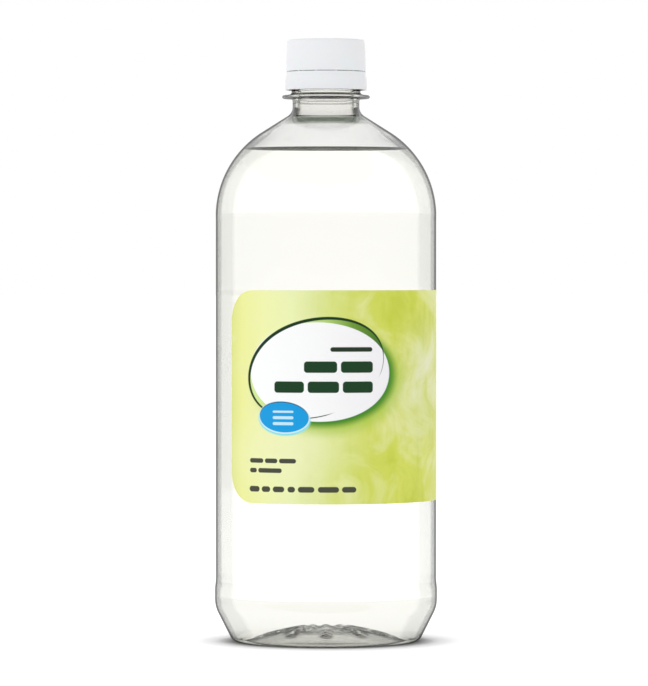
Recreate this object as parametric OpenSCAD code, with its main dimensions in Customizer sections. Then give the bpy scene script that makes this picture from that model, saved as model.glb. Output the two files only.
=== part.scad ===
// Clear PET vinegar bottle, full and shut: a blown body with a threaded neck,
// a white screw cap with its tamper band, the vinegar up to its level, and a
// wrap-round film label. Millimetres, +Z up. The origin is the centre of the
// standing ring, on the surface that the bottle stands on. The front of the
// label faces -Y.

/* [Body] */
// Outer diameter of the label panel
body_d = 83; // [60:0.5:110]
// Height of the bottle, from the standing ring to the rim of the neck
bottle_h = 224.8; // [170:0.1:300]
// How far the shoulder and the base band stand proud of the label panel
panel_recess = 0.35; // [0.1:0.05:1]
// Radius of the arc that forms the domed shoulder
shoulder_arc_r = 37.4; // [30:0.1:60]
// Radius of the hollow curve between the shoulder and the neck
neck_fillet_r = 4; // [2:0.1:12]
// Height of the plain band above the heel, up to the label panel
base_band_z = 24; // [18:0.5:34]
// Height at which the heel starts to taper in
heel_z = 16; // [10:0.5:17]
// How far the standing ring lies inside the base band
heel_inset = 8.6; // [5:0.1:12]

/* [Base] */
// Height of the push-up at its centre
pushup_h = 10.5; // [3:0.1:14]
// Number of radial ribs pressed into the push-up
rib_count = 10; // [5:1:16]
// Radius of each rib
base_rib_r = 1.5; // [0.8:0.1:2.5]
// Width of the flat foot of the standing ring
foot_w = 1.6; // [0.8:0.1:3]

/* [Wall] */
// Wall of the blown body
body_wall = 0.5; // [0.35:0.05:1.2]
// Wall of the base, where the blown plastic stays thicker
base_wall = 0.9; // [0.6:0.05:2]

/* [Neck finish] */
// Outer diameter of the neck
neck_d = 25.1; // [23:0.1:32]
// Wall of the neck, which stays thick where the body is blown thin
neck_wall = 1.7; // [1.2:0.05:2.4]
// How far the thread stands out from its root
thread_depth = 1.25; // [0.8:0.05:1.6]
// Rise of the thread in one turn
thread_pitch = 3.2; // [2.6:0.05:4]
// Number of turns of the thread
thread_turns = 1.6; // [1:0.1:1.8]
// How far the bead that holds the tamper band stands out from the neck
bead_out = 1.45; // [1:0.05:2]
// How far the support ring stands out from the neck
ring_out = 3.95; // [2.5:0.05:6]
// Thickness of the support ring at its rim
ring_t = 1.2; // [0.8:0.05:2.5]
// Distance from the rim down to the underside of the support ring
finish_h = 20.4; // [19:0.1:26]

/* [Cap] */
// Wall of the screw skirt
cap_wall = 0.95; // [0.6:0.05:1.6]
// How much narrower the skirt is at its top, for its release from the mould
cap_draft = 0.7; // [0.2:0.05:1.2]
// Thickness of the top of the cap
cap_top_t = 1.7; // [1:0.05:3]
// Wall of the tamper band
band_wall = 1.15; // [0.6:0.05:1.6]
// Height of the tamper band
band_h = 6.8; // [4:0.05:7.2]
// Height of the slit between the skirt and the tamper band
slit_h = 0.4; // [0.2:0.05:0.8]
// Number of small bridges across the slit
bridge_count = 12; // [6:1:20]

/* [Label] */
// Height of the label
label_h = 78.9; // [50:0.1:110]
// How far the label sits above the middle of its panel
label_lift = 0.85; // [-6:0.05:6]
// Where the label starts, in degrees from the front, anticlockwise seen from above
label_start = -57.6; // [-90:0.1:-30]
// How far the label goes round the bottle, in degrees
label_sweep = 207; // [120:1:340]
// Radius of the label's corners
label_corner_r = 12; // [2:0.5:20]
// Thickness of the label film
label_t = 0.1; // [0.05:0.01:0.4]

/* [Contents] */
// Distance from the rim of the neck down to the vinegar
headspace_h = 39.4; // [30:0.1:80]

/* [Hidden] */

$fn = 128;
arc_steps = 14;         // straight pieces along each curve of the profile
contents_gap = 0.1;     // between the vinegar and the wall round it
glue_t = 0.04;          // adhesive under the label
corner_run = 0.05;      // so that the label's corner arcs cross its edges cleanly
overrun = 1;            // by which a cutting shape passes the face that it cuts
rooted = 0.3;           // by which a thread, a lip or a bridge is let into its wall

body_r = body_d / 2;
proud_r = body_r + panel_recess;
neck_r = neck_d / 2;
bore_r = neck_r - neck_wall;
thread_relief = 0.1;
root_r = neck_r - thread_relief;    // root of the thread
crest_r = root_r + thread_depth;
collar_out = 0.4;
collar_r = neck_r + collar_out;     // neck between the support ring and the bead
bead_r = neck_r + bead_out;
ring_r = neck_r + ring_out;

// The foot and the heel
foot_r = proud_r - heel_inset;      // outer edge of the flat foot
foot_in_r = foot_r - foot_w;
heel_corner_r = 3.2;                // rounding between the foot and the tapered heel
heel_lean = 23;                     // degrees between the heel and the vertical
heel_blend_r = 12;                  // rounding between the heel and the base band

// The push-up, in shares of the radius that it has to fill
dome_power = 1.6;                   // how full its dome is
rib_start_share = 0.22;             // where each rib starts
rib_end_share = 0.62;               // and ends
rib_sink = [0.45, 0.45];            // depth of a rib's axis at each end, in rib radii

// Heights, counted down from the rim
ring_z = bottle_h - finish_h;       // underside of the support ring
ring_slope_h = 0.5;                 // rise of the ring's sloping top
ring_foot = [0.8, 0.6];             // how far the ring's underside blends out and down
ring_top_z = ring_z + ring_t + ring_slope_h;
bead_rise = 4.2;                    // from the ring's top to the bead
bead_z = ring_top_z + bead_rise;    // middle of the tamper bead
bead_t = 1.6;
rim_chamfer = 0.6;
thread_drop = 2.6;                  // from the rim to the thread
thread_z = bottle_h - thread_drop;  // middle of the thread's upper end
thread_w = [2.1, 0.9];              // width of the bottle's thread at its root and crest
cap_thread_w = [1.9, 0.7];          // and of the cap's
neck_straight_h = 3.2;              // plain neck under the support ring
neck_foot_z = ring_z - neck_straight_h;
fillet_c = [neck_r + neck_fillet_r, neck_foot_z];
shoulder_proud = 0.05;              // by which the dome stands proud of the panel
shoulder_c_r = body_r + shoulder_proud - shoulder_arc_r;
shoulder_drop = 44.3;               // from the support ring down to the foot of the shoulder
shoulder_z = ring_z - shoulder_drop;
shoulder_c = [shoulder_c_r, shoulder_z];
// A straight slope touches both the shoulder arc and the hollow neck curve, and both
// arcs end at the angle of its face
across_slope = fillet_c - shoulder_c;
slope_share = min(1, (shoulder_arc_r + neck_fillet_r) / norm(across_slope));
shoulder_end = atan2(across_slope[1], across_slope[0]) - acos(slope_share);
step_h = 1.2;                       // height of the soft step at each end of the panel
panel_top_z = shoulder_z;
panel_bottom_z = base_band_z;
fill_z = bottle_h - headspace_h;

// The cap, seated with its inner top face on the rim
cap_z = bottle_h;
cap_top_z = cap_z + cap_top_t;
band_gap = 1.5;                     // between the support ring and the tamper band
band_z = ring_top_z + band_gap;
slit_z = band_z + band_h;
thread_gap = 0.25;                  // round each thread's crest
cap_in_r = crest_r + thread_gap;
cap_r = cap_in_r + cap_wall;
bead_gap = 0.2;                     // round the bead
band_in_r = bead_r + bead_gap;
band_r = band_in_r + band_wall;
band_straight_share = 0.55;         // straight foot of the band, as a share of its height
band_taper_h = 0.6;                 // height over which the band narrows inside to the skirt
skirt_foot = [0.1, 0.4];            // softened lower edge of the skirt, in and up
lip_catch = 0.5;
lip_r = bead_r - lip_catch;         // lip that catches under the bead
lip_heights = [0.2, 0.7, 1.2, 1.6]; // of the lip's corners, from the foot of the band
cap_round = 0.8;                    // rounding of the top edge
bridge_r = 0.25;

// The label lies in its panel
label_z = (panel_top_z + panel_bottom_z - label_h) / 2 + label_lift;
label_in_r = body_r + glue_t;

// Points along an arc about c, from angle a0 to a1
function arc(c, r, a0, a1, n = arc_steps) =
    [for (i = [0 : n]) c + r * [cos(a0 + (a1 - a0) * i / n), sin(a0 + (a1 - a0) * i / n)]];

// A smooth step from 0 at a to 1 at b
function ease(x, a, b) =
    let (t = max(0, min(1, (x - a) / (b - a)))) t * t * (3 - 2 * t);

// Height of the push-up at radius r: a dome, rounded at its centre
function pushup_z(r) = pushup_h * (1 - pow(min(1, r / foot_in_r), dome_power));

// The push-up from the centre out to the foot, raised by grow
function pushup(grow, last) =
    [for (i = [0 : arc_steps + 4]) let (r = last * i / (arc_steps + 4)) [r, pushup_z(r) + grow]];

// The heel, from the foot to the base band, moved inwards by in
heel_low_c = [foot_r, heel_corner_r];
heel_high_c = [proud_r - heel_blend_r, heel_z];
function heel(in) = concat(
    arc(heel_low_c, heel_corner_r - in, -90, -heel_lean - 6, 8),
    arc(heel_high_c, heel_blend_r - in, -heel_lean - 4, 0, 10));

// The shoulder dome, its straight slope and the hollow curve up to the neck. The wall thickens from
// wall_a on the dome to wall_b at the neck.
function shoulder(wall_a, wall_b) = concat(
    [for (i = [0 : 2 * arc_steps])
        let (t = i / (2 * arc_steps), a = 2 + (shoulder_end - 2) * t,
             w = wall_a + (wall_b - wall_a) * 0.4 * ease(t, 0.5, 1))
        shoulder_c + (shoulder_arc_r - w) * [cos(a), sin(a)]],
    [for (i = [0 : arc_steps])
        let (t = i / arc_steps, a = 180 + shoulder_end * (1 - t),
             w = wall_a + (wall_b - wall_a) * (0.4 + 0.6 * t))
        fillet_c + (neck_fillet_r + w) * [cos(a), sin(a)]]);

outer_profile = concat(
    pushup(0, foot_in_r),
    heel(0),
    [[proud_r, panel_bottom_z - step_h], [body_r, panel_bottom_z]],
    [[body_r, panel_top_z - step_h]],
    shoulder(0, 0),
    [[neck_r, ring_z - ring_foot[1]],
     [neck_r + ring_foot[0], ring_z]],
    arc([ring_r - ring_t / 2, ring_z + ring_t / 2], ring_t / 2, -90, 90, 6),
    [[collar_r + ring_foot[1], ring_top_z],
     [collar_r, ring_top_z + ring_slope_h],
     [collar_r, bead_z - bead_t / 2],
     [bead_r, bead_z - bead_t / 4],
     [bead_r, bead_z],
     [root_r, bead_z + bead_t],
     [root_r, bottle_h - rim_chamfer],
     [root_r - rim_chamfer, bottle_h],
     [0, bottle_h]]);

function inner_profile(gap) = concat(
    pushup(base_wall + gap, foot_in_r - 1),
    heel(body_wall + gap),
    [[proud_r - body_wall - gap, panel_bottom_z - step_h],
     [body_r - body_wall - gap, panel_bottom_z],
     [body_r - body_wall - gap, panel_top_z - step_h]],
    shoulder(body_wall + gap, neck_r - bore_r + gap),
    [[bore_r - gap, bottle_h + overrun], [0, bottle_h + overrun]]);

// Ribs that run out from the centre of the push-up towards the foot, grown by grow
module base_ribs(grow) {
    start_r = rib_start_share * foot_in_r;
    end_r = rib_end_share * foot_in_r;
    start_z = pushup_z(start_r) - rib_sink[0] * base_rib_r;
    end_z = pushup_z(end_r) - rib_sink[1] * base_rib_r;
    slope = atan2(start_z - end_z, end_r - start_r);
    for (i = [0 : rib_count - 1])
        rotate([0, 0, (i + 0.5) * 360 / rib_count])
            translate([start_r, 0, start_z])
                rotate([0, 90 + slope, 0]) {
                    cylinder(r = base_rib_r + grow,
                             h = norm([end_r - start_r, end_z - start_z]));
                    sphere(r = base_rib_r + grow);
                }
}

// The space inside the bottle, taken in by gap
module cavity(gap) {
    difference() {
        rotate_extrude() polygon(inner_profile(gap));
        base_ribs(base_wall + gap);
    }
}

// A thread rib swept up a helix. r0 is its root, r1 its crest, and w is its width
// at each of them. It runs out to nothing at both ends.
module thread_rib(r0, r1, w, top_z) {
    per_turn = 36;
    n = round(per_turn * thread_turns);
    fade = 5;
    function ring_points(i) =
        let (a = i * 360 / per_turn,
             z = top_z - thread_pitch * i / per_turn,
             f = min(1, (min(i, n - i) + 0.4) / fade),
             rc = r0 + (r1 - r0) * f)
        [for (p = [[r0, -w[0] / 2], [rc, -w[1] / 2], [rc, w[1] / 2], [r0, w[0] / 2]])
            [p[0] * cos(-a), p[0] * sin(-a), z + p[1]]];
    points = [for (i = [0 : n]) each ring_points(i)];
    outward = r1 > r0;
    sides = [for (i = [0 : n - 1], k = [0 : 3])
        let (a = 4 * i + k, b = 4 * i + (k + 1) % 4)
        outward ? [a, a + 4, b + 4, b] : [a, b, b + 4, a + 4]];
    caps = outward ? [[0, 1, 2, 3], [4 * n + 3, 4 * n + 2, 4 * n + 1, 4 * n]]
                   : [[3, 2, 1, 0], [4 * n, 4 * n + 1, 4 * n + 2, 4 * n + 3]];
    polyhedron(points, concat(sides, caps), convexity = 6);
}

module bottle() {
    color([0.86, 0.9, 0.9, 0.35])
    difference() {
        union() {
            difference() {
                rotate_extrude() polygon(outer_profile);
                base_ribs(0);
            }
            thread_rib(root_r - rooted, crest_r, thread_w, thread_z);
        }
        cavity(0);
    }
}

module vinegar() {
    color([0.96, 0.96, 0.93, 0.5])
    intersection() {
        cavity(contents_gap);
        cylinder(r = proud_r, h = fill_z);
    }
}

module cap() {
    top_r = cap_r - cap_draft / 2;
    shell = concat(
        [[0, band_z], [band_r, band_z],
         [band_r, band_z + band_straight_share * band_h],
         [cap_r - skirt_foot[0], slit_z],
         [cap_r, slit_z + slit_h + skirt_foot[1]],
         [cap_r, (slit_z + cap_top_z) / 2]],
        arc([top_r - cap_round, cap_top_z - cap_round], cap_round, 0, 90, 8),
        [[0, cap_top_z]]);
    hollow = [[0, band_z - overrun], [band_in_r, band_z - overrun],
              [band_in_r, slit_z - band_taper_h], [cap_in_r, slit_z],
              [cap_in_r, cap_z], [0, cap_z]];
    color([0.94, 0.95, 0.96]) {
        difference() {
            rotate_extrude() polygon(shell);
            rotate_extrude() polygon(hollow);
            translate([0, 0, slit_z])
                cylinder(r = band_r + overrun, h = slit_h);
        }
        slit_bridges();
        catch_lip();
        thread_rib(cap_in_r + rooted, root_r + thread_gap, cap_thread_w,
                   thread_z - thread_pitch / 2);
    }
}

// Small posts across the slit, which snap when the cap is first turned
module slit_bridges() {
    post_r = (cap_in_r + cap_r) / 2;
    for (i = [0 : bridge_count - 1])
        rotate([0, 0, i * 360 / bridge_count])
            translate([post_r, 0, slit_z - rooted])
                cylinder(r = bridge_r, h = slit_h + 2 * rooted);
}

// Lip inside the foot of the tamper band, which catches under the bead
module catch_lip() {
    rotate_extrude()
        polygon([[band_in_r + rooted, band_z + lip_heights[0]],
                 [band_in_r + rooted, band_z + lip_heights[3]],
                 [lip_r, band_z + lip_heights[2]],
                 [lip_r, band_z + lip_heights[1]]]);
}

// What rounds off one corner of the label. side is -1 at its start and 1 at its
// end, and up is 1 at its top edge and -1 at its bottom edge.
module corner_cut(side, up) {
    half_turn = label_corner_r / label_in_r * 180 / PI;
    edge = side < 0 ? label_start : label_start + label_sweep;
    edge_z = up > 0 ? label_z + label_h : label_z;
    centre_z = edge_z - up * label_corner_r;
    rotate([0, 0, edge - side * half_turn])
        translate([0, 0, centre_z])
            difference() {
                rotate([90, 0, 0])
                    linear_extrude(height = body_d)
                        polygon([[0, 0], [side * 2 * label_corner_r, 0],
                                 [side * 2 * label_corner_r, up * 2 * label_corner_r],
                                 [0, up * 2 * label_corner_r]]);
                rotate([90, 0, 0])
                    cylinder(r = label_corner_r + corner_run, h = body_d + overrun);
            }
}

module label() {
    color([0.84, 0.89, 0.42])
    difference() {
        rotate([0, 0, label_start - 90])
            translate([0, 0, label_z])
                rotate_extrude(angle = label_sweep)
                    translate([label_in_r, 0]) square([label_t, label_h]);
        for (side = [-1, 1], up = [-1, 1]) corner_cut(side, up);
    }
}

bottle();
vinegar();
cap();
label();
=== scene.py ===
# %% [markdown]
# # A clear bottle of white vinegar
#
# The real object is a stretch-blown PET bottle, full to the shoulder, shut by a white
# moulded screw cap and dressed with one printed film label. In this lesson the looks are
# built around a measured frame: the frame says where each piece is and how large, and
# Blender gives each piece a smooth surface and its true finish.

import math

import bpy
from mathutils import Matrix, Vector


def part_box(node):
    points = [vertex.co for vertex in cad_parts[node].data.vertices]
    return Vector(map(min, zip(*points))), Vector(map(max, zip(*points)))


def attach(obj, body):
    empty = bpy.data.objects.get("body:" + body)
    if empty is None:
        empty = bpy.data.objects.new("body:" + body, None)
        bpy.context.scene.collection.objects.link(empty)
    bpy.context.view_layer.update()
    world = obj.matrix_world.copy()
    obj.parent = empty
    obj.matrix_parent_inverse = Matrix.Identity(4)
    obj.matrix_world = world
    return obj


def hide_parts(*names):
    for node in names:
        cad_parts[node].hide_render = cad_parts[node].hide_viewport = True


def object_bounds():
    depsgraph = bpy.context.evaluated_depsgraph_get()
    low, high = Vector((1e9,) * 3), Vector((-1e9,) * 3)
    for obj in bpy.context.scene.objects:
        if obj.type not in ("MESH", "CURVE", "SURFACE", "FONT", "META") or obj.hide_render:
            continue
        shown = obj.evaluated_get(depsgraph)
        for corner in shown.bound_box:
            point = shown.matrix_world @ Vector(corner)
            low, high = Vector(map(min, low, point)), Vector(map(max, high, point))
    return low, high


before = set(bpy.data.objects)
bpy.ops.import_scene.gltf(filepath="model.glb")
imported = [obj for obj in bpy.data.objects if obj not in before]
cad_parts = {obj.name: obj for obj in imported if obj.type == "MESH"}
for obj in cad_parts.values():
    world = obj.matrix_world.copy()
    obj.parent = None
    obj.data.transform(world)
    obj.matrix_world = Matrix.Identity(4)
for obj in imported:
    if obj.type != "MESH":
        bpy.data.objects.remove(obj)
cad_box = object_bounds()
print("frame nodes:", sorted(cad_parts))

# %% [markdown]
# ## Units, colours and one way to add a node
#
# Everything below is written in millimetres and turned to metres by `MM`, because the
# drawing of a bottle is read in millimetres. Colours are sRGB hex values, as a printer
# would name them, and the shader wants them linear, so one function turns them. One
# more function adds any shader node with its settings, its values and its links.

# %% Helpers
MM = 0.001


def paint(hex_code):
    """A colour written as sRGB hex, such as "f0f3f5", as linear RGBA."""
    channels = [int(hex_code[i:i + 2], 16) / 255 for i in (0, 2, 4)]
    linear = [c / 12.92 if c <= 0.04045 else ((c + 0.055) / 1.055) ** 2.4 for c in channels]
    return (*linear, 1.0)


def add(tree, kind, inputs=None, stops=None, **settings):
    """Adds a node. inputs holds values or sockets to link, and stops fills a colour ramp."""
    made = tree.nodes.new(kind)
    for name, value in settings.items():
        setattr(made, name, value)
    for name, value in (inputs or {}).items():
        if isinstance(value, bpy.types.NodeSocket):
            tree.links.new(value, made.inputs[name])
        else:
            made.inputs[name].default_value = value
    for place, (at, colour) in enumerate(stops or []):
        ramp = made.color_ramp.elements
        stop = ramp[place] if place < 2 else ramp.new(at)
        stop.position = at
        stop.color = colour
    return made


def new_material(name):
    """An empty material: its node tree and the output's surface socket."""
    material = bpy.data.materials.new(name)
    material.use_nodes = True
    tree = material.node_tree
    tree.nodes.clear()
    output = tree.nodes.new("ShaderNodeOutputMaterial")
    return material, tree, output.inputs["Surface"]


# %% [markdown]
# ## The camera
#
# A pack shot is taken from far away with a long lens, so that the bottle's sides stay
# parallel. The camera stands 1.75 m off, a little above the middle of the bottle, and
# looks down by less than one degree.

# %% Camera
CAMERA_AWAY = 1750
CAMERA_HEIGHT = 138
CAMERA_ASIDE = -0.75
CAMERA_TILT_DOWN = 0.84
LENS = 243.6

bpy.ops.object.camera_add(
    location=(CAMERA_ASIDE * MM, -CAMERA_AWAY * MM, CAMERA_HEIGHT * MM),
    rotation=(math.radians(90 - CAMERA_TILT_DOWN), 0, 0))
camera = bpy.context.object
camera.name = "camera"
camera.data.lens = LENS
camera.data.clip_end = 100
bpy.context.scene.camera = camera
print("camera at", [round(v, 3) for v in camera.location])

# %% [markdown]
# ## Light for a clear thing
#
# Clear plastic has no colour of its own: it shows what is behind and beside it. A studio
# sets a bright white field all round it, so that its flat walls look empty. The sky here
# does the same. It is equal all the way round, so that the bottle looks as well from
# behind, and only a little dimmer overhead. The field that is seen is brighter than the
# light that it throws, as behind a lit cloth, so that the white cap keeps its form in
# front of it, and a little more light comes from the left.

# %% World
HORIZON_LIGHT = 1.02
CEILING_LIGHT = 0.96
DIM_FROM_UP = 0.55
DIM_TO_UP = 0.88
LEFT_LIGHT = 0.86
RIGHT_LIGHT = 0.50

scene = bpy.context.scene
scene.view_settings.view_transform = "Standard"
scene.view_settings.look = "None"
world = bpy.data.worlds.new("white studio")
scene.world = world
world.use_nodes = True
sky = world.node_tree
sky.nodes.clear()
direction = add(sky, "ShaderNodeTexCoord").outputs["Generated"]
toward = add(sky, "ShaderNodeSeparateXYZ", {"Vector": direction}).outputs
fade = add(sky, "ShaderNodeMapRange",
           {"Value": toward["Z"], "From Min": DIM_FROM_UP, "From Max": DIM_TO_UP,
            "To Min": HORIZON_LIGHT, "To Max": CEILING_LIGHT},
           interpolation_type="SMOOTHSTEP").outputs["Result"]
seen_field = add(sky, "ShaderNodeBackground",
                 {"Color": paint("ffffff"), "Strength": fade}).outputs[0]
left_to_right = add(sky, "ShaderNodeMapRange",
                    {"Value": toward["X"], "From Min": -1.0, "From Max": 1.0,
                     "To Min": LEFT_LIGHT, "To Max": RIGHT_LIGHT}).outputs["Result"]
thrown = add(sky, "ShaderNodeBackground",
             {"Color": paint("fdfeff"), "Strength": left_to_right}).outputs[0]
backdrop = add(sky, "ShaderNodeBackground",
               {"Color": paint("ffffff"), "Strength": 1.0}).outputs[0]
ray = add(sky, "ShaderNodeLightPath").outputs
field = add(sky, "ShaderNodeMixShader",
            {0: ray["Is Diffuse Ray"], 1: seen_field, 2: thrown}).outputs[0]
whole = add(sky, "ShaderNodeMixShader", {0: ray["Is Camera Ray"], 1: field, 2: backdrop})
add(sky, "ShaderNodeOutputWorld", {"Surface": whole.outputs[0]})
print("sky from", HORIZON_LIGHT, "at the horizon to", CEILING_LIGHT, "overhead")

# %% [markdown]
# The floor is a sheet that glows to the white of the backdrop. A clear bottle throws hardly any
# shadow, so a soft ring of painted shadow is laid round the bottle's foot: the sheet's colour is
# darkened and its glow is taken away there. Right under the bottle the sheet keeps its glow, which
# is painted light for the light that comes up through the base.

# %% Floor
FLOOR_SIZE = 60000
FLOOR_GLOW = 0.44
SHADOW_REACH = 50
SHADOW_START = 0.60
SHADOW_DARKEST = 0.655

bpy.ops.object.select_all(action="DESELECT")
bpy.ops.mesh.primitive_plane_add(size=FLOOR_SIZE * MM, location=(0, 0, cad_box[0][2]))
floor = bpy.context.object
floor.name = "studio_floor"
sheet, tree, surface = new_material("white studio paper")
spot = add(tree, "ShaderNodeTexCoord").outputs["Object"]
from_foot = add(tree, "ShaderNodeVectorMath", {0: spot}, operation="LENGTH").outputs["Value"]
ring_place = add(tree, "ShaderNodeMapRange",
                 {"Value": from_foot, "From Max": SHADOW_REACH * MM}).outputs["Result"]
# Painted shadow: 1 where the sheet is clear, falling to black in a ring round the foot and fading
# out further away.
painted_shadow_ramp = add(tree, "ShaderNodeValToRGB", {"Fac": ring_place}, stops=[
    (0.00, (1, 1, 1, 1)), (1.00, (1, 1, 1, 1)), (SHADOW_START, (1, 1, 1, 1)),
    (SHADOW_DARKEST, (0, 0, 0, 1)), (0.71, (0.08, 0.08, 0.08, 1)),
    (0.84, (0.7, 0.7, 0.7, 1))]).outputs["Color"]
# The painted shadow darkens the sheet's colour and takes away its glow.
sheet_tone_painted_shadow = add(tree, "ShaderNodeMix",
                 {"Factor": painted_shadow_ramp, 6: paint("b2b2b1"), 7: paint("fafafa")},
                 data_type="RGBA").outputs[2]
sheet_glow_painted_shadow = add(tree, "ShaderNodeMath", {0: painted_shadow_ramp, 1: FLOOR_GLOW},
                 operation="MULTIPLY").outputs[0]
lit = add(tree, "ShaderNodeBsdfPrincipled",
          {"Base Color": sheet_tone_painted_shadow, "Roughness": 0.9, "Specular IOR Level": 0.1,
           "Emission Color": paint("ffffff"), "Emission Strength": sheet_glow_painted_shadow})
tree.links.new(lit.outputs[0], surface)
floor.data.materials.append(sheet)
print("floor ring from", SHADOW_REACH * SHADOW_START, "to", SHADOW_REACH, "mm from the axis")

# %% [markdown]
# One large soft box hangs over the bottle. It lights the floor and the cap, and it is
# hidden from the clear plastic, which would otherwise draw its hard edge in the neck.

# %% Soft box
SOFT_BOX_ASIDE = -120
SOFT_BOX_AHEAD = 250
SOFT_BOX_HEIGHT = 1500
SOFT_BOX_AIM_Z = 100
SOFT_BOX_SIZE = 1600
SOFT_BOX_POWER = 3

bpy.ops.object.light_add(
    type="AREA",
    location=(SOFT_BOX_ASIDE * MM, -SOFT_BOX_AHEAD * MM, SOFT_BOX_HEIGHT * MM))
soft_box = bpy.context.object
soft_box.name = "soft_box"
downward = Vector((0, 0, SOFT_BOX_AIM_Z * MM)) - soft_box.location
soft_box.rotation_euler = downward.to_track_quat("-Z", "Y").to_euler()
soft_box.data.shape = "DISK"
soft_box.data.size = SOFT_BOX_SIZE * MM
soft_box.data.energy = SOFT_BOX_POWER
soft_box.visible_transmission = False
soft_box.visible_glossy = False
print("soft box", SOFT_BOX_SIZE, "mm wide,", SOFT_BOX_HEIGHT, "mm up")

# %% [markdown]
# ## Turning a shape from its outline
#
# A bottle, its contents and its cap are all round, so each is turned like a pot: one
# half outline is drawn point by point with Extrude and swept round the axis with Spin.
# The alternative, a Screw modifier, gives the same surface, but Spin leaves real faces
# that can be edited straight away. Merging the doubles closes the seam and the poles.

# %% Outline and lathe
TURN_STEPS = 192
MERGE_MM = 0.004


def arc(centre, radius, start, end, steps):
    """Points along an arc, with its angles in degrees."""
    angles = [math.radians(start + (end - start) * i / steps) for i in range(steps + 1)]
    return [(centre[0] + radius * math.cos(a), centre[1] + radius * math.sin(a)) for a in angles]


def ease(value, start, end):
    """A smooth step from 0 at start to 1 at end."""
    t = min(1, max(0, (value - start) / (end - start)))
    return t * t * (3 - 2 * t)


def turn(name, outline, steps=TURN_STEPS, ring=False):
    """Turns an outline of (radius, height) points round Z. A ring's outline is closed."""
    bpy.ops.object.select_all(action="DESELECT")
    bpy.ops.mesh.primitive_plane_add(size=MM)
    piece = bpy.context.object
    piece.name = piece.data.name = name
    bpy.ops.object.mode_set(mode="EDIT")
    bpy.ops.mesh.select_all(action="SELECT")
    bpy.ops.mesh.merge(type="CENTER")
    points = list(outline) + ([outline[0]] if ring else [])
    bpy.ops.transform.translate(value=(points[0][0] * MM, 0, points[0][1] * MM))
    for last, point in zip(points, points[1:]):
        step = ((point[0] - last[0]) * MM, 0, (point[1] - last[1]) * MM)
        bpy.ops.mesh.extrude_region_move(TRANSFORM_OT_translate={"value": step})
    bpy.ops.mesh.select_all(action="SELECT")
    bpy.ops.mesh.spin(steps=steps, angle=math.tau, center=(0, 0, 0), axis=(0, 0, 1))
    bpy.ops.mesh.select_all(action="SELECT")
    bpy.ops.mesh.remove_doubles(threshold=MERGE_MM * MM)
    bpy.ops.mesh.normals_make_consistent(inside=False)
    bpy.ops.object.mode_set(mode="OBJECT")
    print(name, "turned:", len(piece.data.polygons), "faces")
    return piece


# %% [markdown]
# ## The sizes of the bottle
#
# The frame gives the rim, the widest radius, the fill line, the cap and the label. The
# rest are the sizes a bottle drawing states: wall, arcs, recess, push-up and neck finish.

# %% Sizes
bottle_box = [[v / MM for v in corner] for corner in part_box("bottle")]
fill_box = [[v / MM for v in corner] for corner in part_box("vinegar")]
cap_box = [[v / MM for v in corner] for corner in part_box("cap")]
label_box = [[v / MM for v in corner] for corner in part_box("label")]

RIM_Z = bottle_box[1][2]
BAND_R = bottle_box[1][0]
FILL_Z = fill_box[1][2]
PANEL_RECESS = 0.35
PANEL_R = BAND_R - PANEL_RECESS
BODY_WALL = 0.5
BASE_WALL = 0.9
NECK_R = 12.55
NECK_WALL = 1.7
BORE_R = NECK_R - NECK_WALL

PUSHUP_H = 10.5
DOME_POWER = 1.6
FOOT_R = BAND_R - 8.6
FOOT_IN_R = FOOT_R - 1.6
HEEL_CORNER_R = 3.2
HEEL_LEAN = 23
HEEL_BLEND_R = 12
HEEL_Z = 16
PANEL_BOTTOM_Z = 24
STEP_H = 4.5

RING_Z = RIM_Z - 20.4
RING_T = 1.2
RING_R = NECK_R + 3.95
RING_TOP_Z = RING_Z + RING_T + 0.5
BEAD_Z = RING_TOP_Z + 4.2
BEAD_R = NECK_R + 1.45
BEAD_T = 1.6

SHOULDER_R = 37.4
SHOULDER_PROUD = 0.05
SHOULDER_DROP = 44.3
SHOULDER_CENTRE = (PANEL_R + SHOULDER_PROUD - SHOULDER_R, RING_Z - SHOULDER_DROP)
FILLET_R = 4
NECK_STRAIGHT_H = 3.2
FILLET_CENTRE = (NECK_R + FILLET_R, RING_Z - NECK_STRAIGHT_H)
slope_across = FILLET_CENTRE[0] - SHOULDER_CENTRE[0]
slope_up = FILLET_CENTRE[1] - SHOULDER_CENTRE[1]
SHOULDER_END = math.degrees(math.atan2(slope_up, slope_across) - math.acos(
    (SHOULDER_R + FILLET_R) / math.hypot(slope_across, slope_up)))
print("rim", round(RIM_Z, 2), "shoulder centre", [round(v, 2) for v in SHOULDER_CENTRE])

# %% [markdown]
# The outline is a function of how far inside the outer skin it runs. With an inset of
# nought it is the outer skin, with the wall's thickness it is the inner one, and with a
# little less than the wall it is the skin of the vinegar, which then bites just into
# the plastic, so that no film of air shines between the two.

# %% Body outline
DOME_FROM = 1.5
DOME_THICKENING = 0.4


def pushup_height(radius):
    """The raised middle of the base: a dome, rounded at its centre."""
    return PUSHUP_H * (1 - min(1, radius / FOOT_IN_R) ** DOME_POWER)


def pushup(lift, last):
    """The base from its centre out to the radius last, lifted by the wall's thickness."""
    steps = 52
    radii = [last * i / steps for i in range(steps + 1)]
    return [(r, pushup_height(r) + lift) for r in radii]


def heel(inset):
    """The small round at the foot and the wide one above it, with a lean between them."""
    low_centre = (FOOT_R, HEEL_CORNER_R)
    high_centre = (BAND_R - HEEL_BLEND_R, HEEL_Z)
    return (arc(low_centre, HEEL_CORNER_R - inset, -90, -HEEL_LEAN - 4, 12)
            + arc(high_centre, HEEL_BLEND_R - inset, -HEEL_LEAN - 2, 0, 14))


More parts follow.
